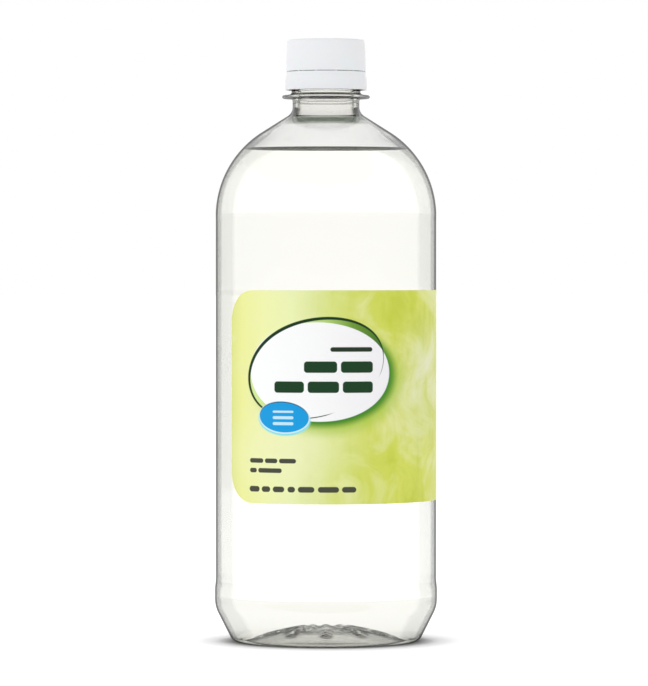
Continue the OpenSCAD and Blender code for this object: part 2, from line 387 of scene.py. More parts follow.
def panel(inset):
    """The step in from the base band, which the blown plastic rounds off on its inner side."""
    steps = 10
    step_h = STEP_H if inset == 0 else PANEL_BOTTOM_Z - HEEL_Z
    low = PANEL_BOTTOM_Z - step_h
    rows = [low + step_h * i / steps for i in range(steps + 1)]
    edge = [(BAND_R - PANEL_RECESS * ease(z, low, low + step_h) - inset, z) for z in rows]
    return edge + [(PANEL_R - inset, SHOULDER_CENTRE[1] * f + PANEL_BOTTOM_Z * (1 - f))
                   for f in (0.25, 0.5, 0.75, 0.985)]


def shoulder(inset, neck_inset):
    """The dome, a straight slope and the hollow under the neck. The wall thickens upward."""
    outline = []
    for i in range(61):
        t = i / 60
        wall = inset + (neck_inset - inset) * DOME_THICKENING * ease(t, 0.5, 1)
        angle = math.radians(DOME_FROM + (SHOULDER_END - DOME_FROM) * t)
        outline.append((SHOULDER_CENTRE[0] + (SHOULDER_R - wall) * math.cos(angle),
                        SHOULDER_CENTRE[1] + (SHOULDER_R - wall) * math.sin(angle)))
    hollow = []
    for i in range(25):
        t = i / 24
        wall = inset + (neck_inset - inset) * (DOME_THICKENING + (1 - DOME_THICKENING) * t)
        angle = math.radians(180 + SHOULDER_END * (1 - t))
        hollow.append((FILLET_CENTRE[0] + (FILLET_R + wall) * math.cos(angle),
                       FILLET_CENTRE[1] + (FILLET_R + wall) * math.sin(angle)))
    (low_r, low_z), (high_r, high_z) = outline[-1], hollow[0]
    slope = [(low_r + (high_r - low_r) * i / 12, low_z + (high_z - low_z) * i / 12)
             for i in range(1, 12)]
    return outline + slope + hollow


def body(inset, lift, neck_inset, foot_end):
    """One skin of the body, from the middle of the base up to the neck."""
    return pushup(lift, foot_end) + heel(inset) + panel(inset) + shoulder(inset, neck_inset)


# %% [markdown]
# ## The bottle
#
# Above the shoulder comes the neck finish, which stays as thick as it was moulded: the
# support ring by which the bottle is held in the filling line, the bead that holds the
# tamper band, and the straight bore. The outer skin, the rim and the inner skin are one
# outline, so the turned bottle is one closed wall.

# %% Bottle
ROOT_R = NECK_R - 0.1
COLLAR_R = NECK_R + 0.4
RIM_ROUND = 0.5

neck_outside = (
    [(NECK_R, RING_Z - 1.0), (NECK_R + 0.15, RING_Z - 0.35), (NECK_R + 0.8, RING_Z - 0.02)]
    + [(RING_R - RING_T * 0.8, RING_Z + 0.02)]
    + arc((RING_R - RING_T / 2, RING_Z + RING_T / 2), RING_T / 2, -80, 80, 10)
    + [(COLLAR_R + 1.2, RING_TOP_Z - 0.3), (COLLAR_R + 0.35, RING_TOP_Z),
       (COLLAR_R, RING_TOP_Z + 0.5), (COLLAR_R, BEAD_Z - BEAD_T / 2)]
    + arc((BEAD_R - 0.4, BEAD_Z - 0.3), 0.4, -60, 60, 5)
    + [(ROOT_R, BEAD_Z + BEAD_T), (ROOT_R, RIM_Z - RIM_ROUND)]
    + arc((ROOT_R - RIM_ROUND, RIM_Z - RIM_ROUND), RIM_ROUND, 15, 90, 5))
neck_inside = (arc((BORE_R + RIM_ROUND, RIM_Z - RIM_ROUND), RIM_ROUND, 100, 180, 5)
               + [(BORE_R, RING_Z)])
outer_skin = body(0, 0, 0, FOOT_IN_R)
inner_skin = body(BODY_WALL, BASE_WALL, NECK_WALL, FOOT_IN_R - 1)
bottle = turn("clear_bottle", outer_skin + neck_outside + neck_inside + inner_skin[::-1])

# %% [markdown]
# Ribs pressed into the push-up stiffen the base. Each is a short line of points on both
# skins, lifted together with proportional editing, so that the dent has soft sides and
# the wall keeps its thickness. The same ribs shape the vinegar's underside.

# %% Base ribs
RIB_COUNT = 10
RIB_START = 0.22 * FOOT_IN_R
RIB_END = 0.62 * FOOT_IN_R
RIB_LIFT = 1.0
RIB_REACH = 2.8
RIBS_BELOW_Z = 15


def press_ribs(piece):
    """Lifts ten radial lines of the push-up. The top of the piece stays as it is."""
    for number in range(RIB_COUNT):
        middle = (number + 0.5) * math.tau / RIB_COUNT
        bpy.ops.object.select_all(action="DESELECT")
        piece.select_set(True)
        bpy.context.view_layer.objects.active = piece
        spacing = math.tau / TURN_STEPS
        for vertex in piece.data.vertices:
            x, y, z = vertex.co / MM
            away = math.hypot(x, y)
            turned = (math.atan2(y, x) - middle + math.pi) % math.tau - math.pi
            # A little over half a step finds a line of points on either side of a rib.
            vertex.select = (RIB_START < away < RIB_END and z < RIBS_BELOW_Z
                             and abs(turned) < 0.55 * spacing)
        for group in (piece.data.edges, piece.data.polygons):
            group.foreach_set("select", [False] * len(group))
        bpy.ops.object.mode_set(mode="EDIT")
        bpy.ops.transform.translate(
            value=(0, 0, RIB_LIFT * MM), use_proportional_edit=True,
            proportional_edit_falloff="SMOOTH", proportional_size=RIB_REACH * MM)
        bpy.ops.object.mode_set(mode="OBJECT")


press_ribs(bottle)
print("ribs:", RIB_COUNT, "of", round(RIB_END - RIB_START, 1), "mm")

# %% [markdown]
# ## The vinegar
#
# Vinegar climbs the wall at its edge. This curve, the meniscus, is steep here because the shoulder
# leans in over the liquid, and it draws the dark line at the liquid's level, which the vinegar's
# finish paints on it as shade. Its shape follows from the capillary length alone: where it slopes
# by an angle, its height and its distance from the wall are both fixed. The level that the frame
# gives is the top of this line, where the liquid meets the wall.

# %% Vinegar
BITE = 0.15
CAPILLARY_LENGTH = 2.4
SLOPE_AT_WALL = 80
EDGE_STEPS = 24
FLAT_STEPS = 8


def meniscus(slope):
    """Height above the flat surface, and distance along it, where it slopes by the angle."""
    return (2 * CAPILLARY_LENGTH * math.sin(slope / 2),
            -CAPILLARY_LENGTH * (math.log(math.tan(slope / 4)) + 2 * math.cos(slope / 2)))


wet_skin = body(BODY_WALL - BITE, BASE_WALL - BITE, NECK_WALL - BITE, FOOT_IN_R - 1)
above = next(i for i, point in enumerate(wet_skin) if point[1] > FILL_Z)
low, high = wet_skin[above - 1], wet_skin[above]
share = (FILL_Z - low[1]) / (high[1] - low[1])
edge_r = low[0] + (high[0] - low[0]) * share
rise, start = meniscus(math.radians(SLOPE_AT_WALL))
liquid_top = [(edge_r, FILL_Z)]
for step in range(1, EDGE_STEPS):
    up, away = meniscus(math.radians(SLOPE_AT_WALL) * (1 - step / EDGE_STEPS) ** 1.3)
    liquid_top.append((edge_r - (away - start), FILL_Z - rise + up))
flat_r = liquid_top[-1][0]
liquid_top += [(flat_r * (1 - i / FLAT_STEPS), FILL_Z - rise)
               for i in range(1, FLAT_STEPS + 1)]
vinegar = turn("white_vinegar", wet_skin[:above] + liquid_top)
press_ribs(vinegar)
print("meniscus", round(rise, 2), "mm high, edge radius", round(edge_r, 1))

# %% [markdown]
# ## The cap
#
# The cap is moulded in white polypropylene. A narrow slit parts the screw skirt from the
# tamper band, which flares a little over the bead and hangs on by a row of small
# bridges. The skirt and the band are turned apart, and the bridges are short posts.

# %% Cap
CAP_TOP_Z = cap_box[1][2]
BAND_FOOT_Z = cap_box[0][2]
BAND_OUT_R = cap_box[1][0]
BAND_FLARE = 0.45
CAP_R = BAND_OUT_R - BAND_FLARE
CAP_DRAFT = 0.35
BAND_H = 6.8
SLIT_H = 0.24
SLIT_Z = BAND_FOOT_Z + BAND_H
SKIRT_IN_R = CAP_R - 0.95
BAND_IN_R = BAND_OUT_R - 1.15
CAP_ROUND = 0.9
BRIDGE_COUNT = 12
BRIDGE_R = 0.3
SLIT_ROUND = 0.1
FOOT_ROUND = 0.2
CAP_STEPS = 144

skirt_top_r = CAP_R - CAP_DRAFT
skirt_outline = (
    [(0, CAP_TOP_Z), (0.5 * skirt_top_r, CAP_TOP_Z), (0.85 * skirt_top_r, CAP_TOP_Z)]
    + arc((skirt_top_r - CAP_ROUND, CAP_TOP_Z - CAP_ROUND), CAP_ROUND, 90, 0, 10)
    + [(CAP_R - 0.12, CAP_TOP_Z - 4), (CAP_R, CAP_TOP_Z - 7), (CAP_R, SLIT_Z + SLIT_H + 0.35)]
    + arc((CAP_R - SLIT_ROUND, SLIT_Z + SLIT_H + SLIT_ROUND), SLIT_ROUND, 0, -90, 4)
    + [(SKIRT_IN_R, SLIT_Z + SLIT_H), (SKIRT_IN_R, RIM_Z), (0, RIM_Z)])
band_outline = (
    [(SKIRT_IN_R, SLIT_Z)]
    + arc((CAP_R - SLIT_ROUND, SLIT_Z - SLIT_ROUND), SLIT_ROUND, 90, 10, 4)
    + [(CAP_R + 0.05, SLIT_Z - 1.4), (BAND_OUT_R - 0.08, SLIT_Z - 2.6),
       (BAND_OUT_R, SLIT_Z - 3.6)]
    + arc((BAND_OUT_R - FOOT_ROUND, BAND_FOOT_Z + FOOT_ROUND), FOOT_ROUND, 0, -90, 4)
    + [(BAND_IN_R, BAND_FOOT_Z), (BAND_IN_R, SLIT_Z - 0.6)])
cap = turn("screw_cap", skirt_outline, steps=CAP_STEPS)
band = turn("tamper_band", band_outline, steps=CAP_STEPS, ring=True)

bridges = []
for number in range(BRIDGE_COUNT):
    turned = (number + 0.5) * math.tau / BRIDGE_COUNT
    middle_r = (SKIRT_IN_R + CAP_R) / 2
    bpy.ops.object.select_all(action="DESELECT")
    bpy.ops.mesh.primitive_cylinder_add(
        vertices=12, radius=BRIDGE_R * MM, depth=(SLIT_H + 0.4) * MM,
        location=(middle_r * math.cos(turned) * MM, middle_r * math.sin(turned) * MM,
                  (SLIT_Z + SLIT_H / 2) * MM))
    bridges.append(bpy.context.object)


def join(main, others):
    """Joins the others into main and leaves main at the origin."""
    bpy.ops.object.select_all(action="DESELECT")
    for piece in others + [main]:
        piece.select_set(True)
    bpy.context.view_layer.objects.active = main
    bpy.ops.object.join()
    bpy.ops.object.transform_apply(location=True, rotation=True, scale=True)
    return main


cap = join(cap, [band] + bridges)

# %% [markdown]
# ## The label
#
# The label is one strip of printed film, laid into the recessed panel. It is made flat,
# as it comes off the roll: a rectangle with bevelled corners, sliced into narrow strips
# so that it can bend, thickened, and then rolled round the bottle by a Simple Deform
# modifier. While it is still flat it gets its UV map, in millimetres right of the front
# line and above the lower edge, so that the print can be laid out like artwork.

# %% Label
LABEL_BOTTOM_Z = label_box[0][2]
LABEL_H = label_box[1][2] - LABEL_BOTTOM_Z
BOX_CLEARANCE = 0.01
LABEL_OUT_R = label_box[1][0] - BOX_CLEARANCE
LABEL_T = 0.13
LABEL_START = math.radians(-57.6)
LABEL_SWEEP = math.radians(207)
LABEL_CORNER = 12
STRIP_W = 1.5

flat_left = LABEL_START * LABEL_OUT_R
flat_w = LABEL_SWEEP * LABEL_OUT_R
bpy.ops.object.select_all(action="DESELECT")
bpy.ops.mesh.primitive_plane_add(size=1, rotation=(math.pi / 2, 0, 0))
label = bpy.context.object
label.name = label.data.name = "film_label"
label.scale = (flat_w * MM, LABEL_H * MM, 1)
bpy.ops.object.transform_apply(location=True, rotation=True, scale=True)
bpy.ops.object.mode_set(mode="EDIT")
bpy.ops.mesh.select_all(action="SELECT")
bpy.ops.transform.translate(value=((flat_left + flat_w / 2) * MM, 0,
                                   (LABEL_BOTTOM_Z + LABEL_H / 2) * MM))
bpy.ops.mesh.bevel(offset=LABEL_CORNER * MM, offset_pct=0, segments=14, profile=0.5,
                   affect="VERTICES")
strips = math.ceil(flat_w / STRIP_W)
for number in range(1, strips):
    cut_x = (flat_left + flat_w * number / strips) * MM
    bpy.ops.mesh.select_all(action="SELECT")
    bpy.ops.mesh.bisect(plane_co=(cut_x, 0, 0), plane_no=(1, 0, 0))
bpy.ops.object.mode_set(mode="OBJECT")
artwork = label.data.uv_layers[0] if label.data.uv_layers else label.data.uv_layers.new()
artwork.name = "artwork_mm"
for loop in label.data.loops:
    spot = label.data.vertices[loop.vertex_index].co / MM
    artwork.data[loop.index].uv = (spot.x, spot.z - LABEL_BOTTOM_Z)

# One slot for the printed side and one for the back, both filled further down.
label.data.materials.append(None)
label.data.materials.append(None)
thick = label.modifiers.new("film", "SOLIDIFY")
thick.thickness = LABEL_T * MM
thick.offset = -1
thick.material_offset = 1
thick.material_offset_rim = 0
bpy.ops.object.modifier_apply(modifier=thick.name)
print("label before rolling:", [round(v / MM, 2) for v in label.dimensions])

# %% [markdown]
# Simple Deform bends along X by the sweep of the label, so its radius comes out as the
# flat width over the sweep. The rolled strip is then moved so that its axis is the
# bottle's. Its inner face lies a hair inside the wall, as glue leaves no air behind it.

# %% Roll the label
roll = label.modifiers.new("roll", "SIMPLE_DEFORM")
roll.deform_method = "BEND"
roll.deform_axis = "Z"
roll.angle = LABEL_SWEEP
bpy.context.view_layer.objects.active = label
bpy.ops.object.modifier_apply(modifier=roll.name)
bpy.ops.object.mode_set(mode="EDIT")
bpy.ops.mesh.select_all(action="SELECT")
bpy.ops.transform.translate(value=(0, -LABEL_OUT_R * MM, 0))
bpy.ops.object.mode_set(mode="OBJECT")
radii = [math.hypot(v.co.x, v.co.y) / MM for v in label.data.vertices]
print("label radii", round(min(radii), 3), round(max(radii), 3), "wall", round(PANEL_R, 3))

for piece, sharp in ((bottle, 50), (vinegar, 60), (cap, 40), (label, 40)):
    bpy.ops.object.select_all(action="DESELECT")
    piece.select_set(True)
    bpy.context.view_layer.objects.active = piece
    bpy.ops.object.shade_smooth_by_angle(angle=math.radians(sharp))

# %% [markdown]
# ## Stretch-blown PET
#
# PET is clear and glossy with an IOR of 1.575. Seen face on, a half-millimetre wall is nearly
# invisible. Seen edge on, the eye looks along the wall through many millimetres of plastic, which
# bends the view out to darker surroundings, and the bottle draws itself with a dark line. Here that
# line is painted shade in the plastic's tint, which Layer Weight gives by the angle of the surface
# alone, so the line is there from every side. The neck isn't blown thin like the body, so it and
# the hollow under it get a darker painted shade.

# %% PET walls
THICK_FROM_Z = 198.0
THICK_TO_Z = 199.0


def height_and_radius(tree):
    """A point's place on its piece, its height and its distance from the bottle's axis."""
    place = add(tree, "ShaderNodeTexCoord").outputs["Object"]
    height = add(tree, "ShaderNodeSeparateXYZ", {"Vector": place}).outputs["Z"]
    flat_place = add(tree, "ShaderNodeVectorMath", {0: place, 1: (1, 1, 0)},
                     operation="MULTIPLY").outputs[0]
    from_axis = add(tree, "ShaderNodeVectorMath", {0: flat_place},
                    operation="LENGTH").outputs["Value"]
    return place, height, from_axis


pet, tree, surface = new_material("stretch-blown PET")
facing = add(tree, "ShaderNodeLayerWeight", {"Blend": 0.5}).outputs["Facing"]
# Painted shade: the plastic's tint goes dark where the surface is seen edge on.
thin_wall_painted_shade = add(tree, "ShaderNodeValToRGB", {"Fac": facing}, stops=[
    (0.00, paint("fefefd")), (1.00, paint("000000")), (0.66, paint("fdfdfb")),
    (0.76, paint("eeeeeb")), (0.81, paint("20201e"))]).outputs["Color"]
# Painted shade for the thick neck, darker and starting at a smaller angle.
thick_wall_painted_shade = add(tree, "ShaderNodeValToRGB", {"Fac": facing}, stops=[
    (0.00, paint("f5f4f1")), (1.00, paint("14150e")), (0.45, paint("f1f0ec")),
    (0.53, paint("cfd1c6")), (0.61, paint("5c5f52")), (0.75, paint("33352a"))]).outputs["Color"]
place, height, from_axis = height_and_radius(tree)
thick = add(tree, "ShaderNodeMapRange",
            {"Value": height, "From Min": THICK_FROM_Z * MM, "From Max": THICK_TO_Z * MM},
            interpolation_type="SMOOTHSTEP").outputs["Result"]
wall_painted_shade = add(tree, "ShaderNodeMix", {"Factor": thick, 6: thin_wall_painted_shade, 7: thick_wall_painted_shade},
                data_type="RGBA").outputs[2]
print("PET: thick neck from", THICK_FROM_Z, "mm up")

# %% [markdown]
# The hollow under the neck is the thickest part and bends the light most, so it gets a grey of
# painted shade of its own. It is a ring, found by its height and its distance from the axis.

# %% PET hollow
HOLLOW_FROM_Z = 150
HOLLOW_TO_Z = 203
HOLLOW_FROM_R = NECK_R + 1.7
HOLLOW_FULL_R = NECK_R + 2.6
HOLLOW_TO_R = 16.2
THIN_FROM_R = 17.4

hollow_in = add(tree, "ShaderNodeMapRange",
                {"Value": from_axis, "From Min": HOLLOW_FROM_R * MM,
                 "From Max": HOLLOW_FULL_R * MM},
                interpolation_type="SMOOTHSTEP").outputs["Result"]
hollow_out = add(tree, "ShaderNodeMapRange",
                 {"Value": from_axis, "From Min": HOLLOW_TO_R * MM, "From Max": THIN_FROM_R * MM,
                  "To Min": 1.0, "To Max": 0.0}, interpolation_type="SMOOTHSTEP").outputs["Result"]
hollow_low = add(tree, "ShaderNodeMath", {0: height, 1: HOLLOW_FROM_Z * MM},
                 operation="GREATER_THAN").outputs[0]
hollow_high = add(tree, "ShaderNodeMath", {0: height, 1: HOLLOW_TO_Z * MM},
                  operation="LESS_THAN").outputs[0]
hollow = hollow_in
for limit in (hollow_out, hollow_low, hollow_high):
    hollow = add(tree, "ShaderNodeMath", {0: hollow, 1: limit}, operation="MULTIPLY").outputs[0]
# Painted shade: a grey laid into the plastic's tint over the hollow.
wall_and_hollow_painted_shade = add(tree, "ShaderNodeMix", {"Factor": hollow, 6: wall_painted_shade, 7: paint("8a9186")},
                data_type="RGBA").outputs[2]
print("PET: hollow from radius", round(HOLLOW_FROM_R, 2), "to", THIN_FROM_R, "mm")

# %% [markdown]
# The middle of the base isn't stretched, so it stays thick, with a swirl left in it of about 4.5
# mm. Along the wall itself hardly any light comes through, which draws a crisp outline. That
# outline is painted shade: a dark, unlit share is mixed in there, by the angle of the surface.

# %% PET base and outline
GATE_TOP_Z = 13
GATE_R = 17.5
GATE_FADE = 2
SWIRL_MM = 4.5
EDGE_DARKNESS = 0.75

at_gate = add(tree, "ShaderNodeMapRange",
              {"Value": from_axis, "From Min": (GATE_R - GATE_FADE) * MM,
               "From Max": GATE_R * MM,
               "To Min": 1.0, "To Max": 0.0}).outputs["Result"]
low_down = add(tree, "ShaderNodeMath", {0: height, 1: GATE_TOP_Z * MM},
               operation="LESS_THAN").outputs[0]
gate = add(tree, "ShaderNodeMath", {0: at_gate, 1: low_down}, operation="MULTIPLY").outputs[0]
swirl = add(tree, "ShaderNodeTexNoise", {"Vector": place, "Scale": 1 / (SWIRL_MM * MM),
                                         "Detail": 1.5, "Distortion": 0.8}).outputs["Fac"]
swirl_height = add(tree, "ShaderNodeMath", {0: swirl, 1: gate},
                   operation="MULTIPLY").outputs[0]
swirl_bump = add(tree, "ShaderNodeBump",
                 {"Height": swirl_height, "Strength": 0.7, "Distance": 1.2 * MM})
plastic = add(tree, "ShaderNodeBsdfPrincipled",
              {"Base Color": wall_and_hollow_painted_shade, "Roughness": 0.015, "IOR": 1.575,
               "Transmission Weight": 1.0, "Normal": swirl_bump.outputs["Normal"]})
painted_outline_share = add(tree, "ShaderNodeMapRange",
                    {"Value": facing, "From Min": 0.80, "From Max": 0.86,
                     "To Max": EDGE_DARKNESS}).outputs["Result"]
# Painted shade: a dark diffuse surface mixed in along the outline.
unlit = add(tree, "ShaderNodeBsdfPrincipled",
            {"Base Color": paint("45463d"), "Roughness": 0.6, "Specular IOR Level": 0.0})
edged = add(tree, "ShaderNodeMixShader",
            {0: painted_outline_share, 1: plastic.outputs[0], 2: unlit.outputs[0]})
tree.links.new(edged.outputs[0], surface)
bottle.data.materials.append(pet)
print(pet.name + ":", len(tree.nodes), "nodes")

# %% [markdown]
# ## White vinegar
#
# Distilled vinegar is water-clear with the faintest warmth in a deep glass of it. Its IOR is a
# little above that of water. A full round bottle is a strong lens, which bends the view at its two
# sides out to the darker corners of a studio. Here a narrow stripe along each side gets painted
# shade in the vinegar's tint, set by the angle at which the light goes in.

# %% Vinegar finish
vinegar_finish, tree, surface = new_material("distilled vinegar")
facing = add(tree, "ShaderNodeLayerWeight", {"Blend": 0.5}).outputs["Facing"]
# Painted shade: grey stripes where the liquid is seen at a slant, and darker again edge on.
slant_painted_shade = add(tree, "ShaderNodeValToRGB", {"Fac": facing}, stops=[
    (0.000, paint("fdfcf8")), (1.00, paint("8d8e88")), (0.150, paint("fcfcf8")),
    (0.163, paint("dededb")), (0.203, paint("d6d6d3")), (0.212, paint("7c7d79")),
    (0.260, paint("7c7d79")), (0.330, paint("fdfcf8")), (0.85, paint("fdfcf8"))]).outputs["Color"]
clear = add(tree, "ShaderNodeBsdfPrincipled",
            {"Base Color": slant_painted_shade, "Roughness": 0.0, "IOR": 1.336,
             "Transmission Weight": 1.0})
print("vinegar IOR 1.336, clear between its tinted stripes")

# %% [markdown]
# The meniscus bends the light that passes it down and away, and so draws the liquid's line. Here
# that line is painted shade: a dark, unlit share is mixed in where the liquid stands higher than
# its flat middle, so the line is there whatever stands round the bottle.

# %% Liquid's line
MENISCUS_DARKNESS = 0.75
CLIMB_START = 0.02
CLIMB_FULL = 0.15
WALL_MARGIN = 0.01

place, height, from_axis = height_and_radius(tree)
climb = add(tree, "ShaderNodeMapRange",
            {"Value": height, "From Min": (FILL_Z - rise + CLIMB_START) * MM,
             "From Max": (FILL_Z - rise + CLIMB_FULL) * MM,
             "To Max": MENISCUS_DARKNESS}).outputs["Result"]
off_wall = add(tree, "ShaderNodeMath", {0: from_axis, 1: (edge_r - WALL_MARGIN) * MM},
               operation="LESS_THAN").outputs[0]
painted_line_mask = add(tree, "ShaderNodeMath", {0: climb, 1: off_wall},
                    operation="MULTIPLY").outputs[0]
# Painted shade: a dark diffuse surface mixed in as the liquid's line.
dark = add(tree, "ShaderNodeBsdfPrincipled",
           {"Base Color": paint("3c3d35"), "Roughness": 0.6, "Specular IOR Level": 0.0})
liquid = add(tree, "ShaderNodeMixShader",
             {0: painted_line_mask, 1: clear.outputs[0], 2: dark.outputs[0]})
tree.links.new(liquid.outputs[0], surface)
vinegar.data.materials.append(vinegar_finish)
print(vinegar_finish.name + ":", len(tree.nodes), "nodes")

# %% [markdown]
# ## Moulded polypropylene
#
# The cap is satin: light goes a little way in, and the mould's fine texture breaks the
# gloss. The texture's grain is about a quarter of a millimetre.

# %% Cap finish
GRAIN_MM = 0.25

white_pp, tree, surface = new_material("moulded polypropylene")
place = add(tree, "ShaderNodeTexCoord").outputs["Object"]
grain = add(tree, "ShaderNodeTexNoise",
            {"Vector": place, "Scale": 1 / (GRAIN_MM * MM), "Detail": 2.0}).outputs["Fac"]
bump = add(tree, "ShaderNodeBump", {"Height": grain, "Strength": 0.08, "Distance": 0.05 * MM})
rough = add(tree, "ShaderNodeMapRange",
            {"Value": grain, "To Min": 0.36, "To Max": 0.46}).outputs["Result"]
moulded = add(tree, "ShaderNodeBsdfPrincipled",
              {"Base Color": paint("f1f2f4"), "Roughness": rough, "IOR": 1.49,
               "Subsurface Weight": 0.15, "Subsurface Scale": 0.6 * MM,
               "Normal": bump.outputs["Normal"]})
tree.links.new(moulded.outputs[0], surface)
cap.data.materials.append(white_pp)
print(white_pp.name + ":", len(tree.nodes), "nodes")

# %% [markdown]
# ## The print
#
# The artwork is laid out in millimetres on the flat film. It has a yellow-green
# watercolour ground, a white oval with a dark swash round it, a small blue oval and
# plain bars where a pack has its words. Each shape is a mask, soft by a fraction of a
# millimetre as ink is, and each ink is laid over what is below it.

# %% Print helpers
INK_EDGE_MM = 0.12
BAR_CORNER_MM = 1.2

film, tree, surface = new_material("printed film")
art = add(tree, "ShaderNodeUVMap", uv_map="artwork_mm").outputs["UV"]


def placed(centre, half=(1, 1), tilt=0):
    """The artwork's coordinates, centred on a shape, turned with it and scaled by its half size."""
    return add(tree, "ShaderNodeMapping",
               {"Vector": art, "Location": (*centre, 0), "Rotation": (0, 0, math.radians(tilt)),
                "Scale": (*half, 1)}, vector_type="TEXTURE").outputs[0]


def within(distance, edge, soft):
    """A mask that is 1 where a distance is under edge, fading over soft each way."""
    return add(tree, "ShaderNodeMapRange",
               {"Value": distance, "From Min": edge - soft, "From Max": edge + soft,
                "To Min": 1.0, "To Max": 0.0}, interpolation_type="SMOOTHSTEP").outputs["Result"]


def oval(centre, half, tilt=0, soft=INK_EDGE_MM):
    """A plain oval."""
    reach = add(tree, "ShaderNodeVectorMath", {0: placed(centre, half, tilt)},
                operation="LENGTH").outputs["Value"]
    return within(reach, 1, soft / min(half))


def bar(left, right, middle, thick):
    """A plain bar with rounded corners."""
    corner = min(thick / 2, BAR_CORNER_MM)
    spot = placed(((left + right) / 2, middle))
    folded = add(tree, "ShaderNodeVectorMath", {0: spot}, operation="ABSOLUTE").outputs[0]
    past = add(tree, "ShaderNodeVectorMath",
               {0: folded, 1: ((right - left) / 2 - corner, thick / 2 - corner, 0)},
               operation="SUBTRACT").outputs[0]
    beyond = add(tree, "ShaderNodeVectorMath", {0: past, 1: (0, 0, 0)},
                 operation="MAXIMUM").outputs[0]
    reach = add(tree, "ShaderNodeVectorMath", {0: beyond}, operation="LENGTH").outputs["Value"]
    return within(reach, corner, INK_EDGE_MM)


def both(first, second, operation="MULTIPLY"):
    """Two masks taken together."""
    return add(tree, "ShaderNodeMath", {0: first, 1: second}, operation=operation,
               use_clamp=True).outputs[0]


def lay(below, ink, mask):
    """Lays an ink, a hex colour or another field of colour, over what is below."""
    ink = paint(ink) if isinstance(ink, str) else ink
    return add(tree, "ShaderNodeMix", {"Factor": mask, 6: below, 7: ink},
               data_type="RGBA").outputs[2]


# %% [markdown]
# The ground is a wash that runs from pale on the left to a stronger green on the right,
# with vertical drifts of pigment and two pale blooms. One noise gives puddles of about
# 22 mm, and another gives drifts about 8 mm wide and 29 mm tall.

# %% Ground
WASH_LEFT = -42.0
WASH_RIGHT = 110.0
PUDDLES_PER_MM = 0.045
DRIFTS_PER_MM = (0.13, 0.035, 1)
DRIFTS_FROM = -12.0
DRIFTS_FULL = 18.0

across = add(tree, "ShaderNodeSeparateXYZ", {"Vector": art})
ground = add(tree, "ShaderNodeValToRGB", {"Fac": add(tree, "ShaderNodeMapRange", {
    "Value": across.outputs["X"], "From Min": WASH_LEFT,
    "From Max": WASH_RIGHT}).outputs["Result"]},
    stops=[(0.000, paint("dfe486")), (1.00, paint("dbe07e")), (0.045, paint("eff29c")),
           (0.12, paint("f2f6b0")), (0.19, paint("eef5b6")), (0.24, paint("e5eda6")),
           (0.29, paint("dce586")), (0.345, paint("d6df6e")), (0.40, paint("d4dc5e")),
           (0.50, paint("dbe264")), (0.62, paint("dae062")),
           (0.80, paint("e0e588"))]).outputs["Color"]
puddles = add(tree, "ShaderNodeTexNoise", {"Vector": art, "Scale": PUDDLES_PER_MM, "Detail": 4.0,
                                           "Roughness": 0.6, "Distortion": 0.6}).outputs["Fac"]
streak_place = add(tree, "ShaderNodeMapping", {"Vector": art, "Scale": DRIFTS_PER_MM}).outputs[0]
streaks = add(tree, "ShaderNodeTexNoise", {"Vector": streak_place, "Scale": 1.0, "Detail": 3.0,
                                           "Roughness": 0.55}).outputs["Fac"]
strong = add(tree, "ShaderNodeMapRange", {"Value": puddles, "From Min": 0.50, "From Max": 0.68,
                                          "To Max": 0.65}).outputs["Result"]
pale = add(tree, "ShaderNodeMapRange", {"Value": puddles, "From Min": 0.48, "From Max": 0.30,
                                        "To Max": 0.75}).outputs["Result"]
drift = add(tree, "ShaderNodeMapRange", {"Value": streaks, "From Min": 0.50, "From Max": 0.68,
                                         "To Max": 0.60}).outputs["Result"]
right_side = add(tree, "ShaderNodeMapRange",
                 {"Value": across.outputs["X"], "From Min": DRIFTS_FROM,
                  "From Max": DRIFTS_FULL}).outputs["Result"]
ground = lay(ground, "c3cf3c", both(strong, right_side))
ground = lay(ground, "c6d238", both(drift, right_side))
ground = lay(ground, "eef0b4", pale)
uneven = add(tree, "ShaderNodeMapRange", {"Value": puddles, "From Min": 0.38, "From Max": 0.62,
                                          "To Min": 1.0, "To Max": 0.25}).outputs["Result"]
ground = lay(ground, "ebedc4", both(oval((43, 45), (15, 19), 0, 9), uneven))
ground = lay(ground, "f3f6c2", both(oval((-16, 20), (22, 12), 8, 9), 0.55))
print("ground laid from", WASH_LEFT, "to", WASH_RIGHT, "mm")

# %% [markdown]
# The oval throws a soft green shade down to the right. The swash is the gap between two
# ovals that aren't quite centred, which makes a line that swells and thins like a
# brush stroke, and it fades out at the lower right.

# %% Ovals
WHITE_OVAL = ((-2.9, 48.8), (27.7, 18.3), -1.2)
SWASH_OUT = ((-4.72, 50.25), (27.65, 18.15), 14.4)
SWASH_IN = ((-4.26, 49.94), (26.92, 17.40), 14.4)
SWASH_CUT = ((0.0, 32.9), (1, 1), 37.0)

wide_shade = oval((0.7, 45.7), (29.2, 19.6), 1.3, 3.0)
close_shade = oval((-0.9, 47.5), (28.2, 18.8), 1.3, 1.6)
colour = lay(ground, "a8c944", both(wide_shade, 0.8))
colour = lay(colour, "37851f", both(close_shade, 0.95))
swash_side = add(tree, "ShaderNodeVectorMath", {0: placed(*SWASH_CUT), 1: (0, -1, 0)},
                 operation="DOT_PRODUCT").outputs["Value"]
kept = within(swash_side, 0.6, 0.8)
crescent = both(oval(*SWASH_OUT), kept)
crescent_ink = add(tree, "ShaderNodeValToRGB", {"Fac": add(tree, "ShaderNodeMapRange", {
    "Value": across.outputs["X"], "From Min": -32.0, "From Max": 23.0}).outputs["Result"]},
    stops=[(0.0, paint("d8ee9c")), (1.0, paint("2f6a14")), (0.55, paint("bcda7c")),
           (0.76, paint("6f9a34"))]).outputs["Color"]
colour = lay(colour, crescent_ink, crescent)
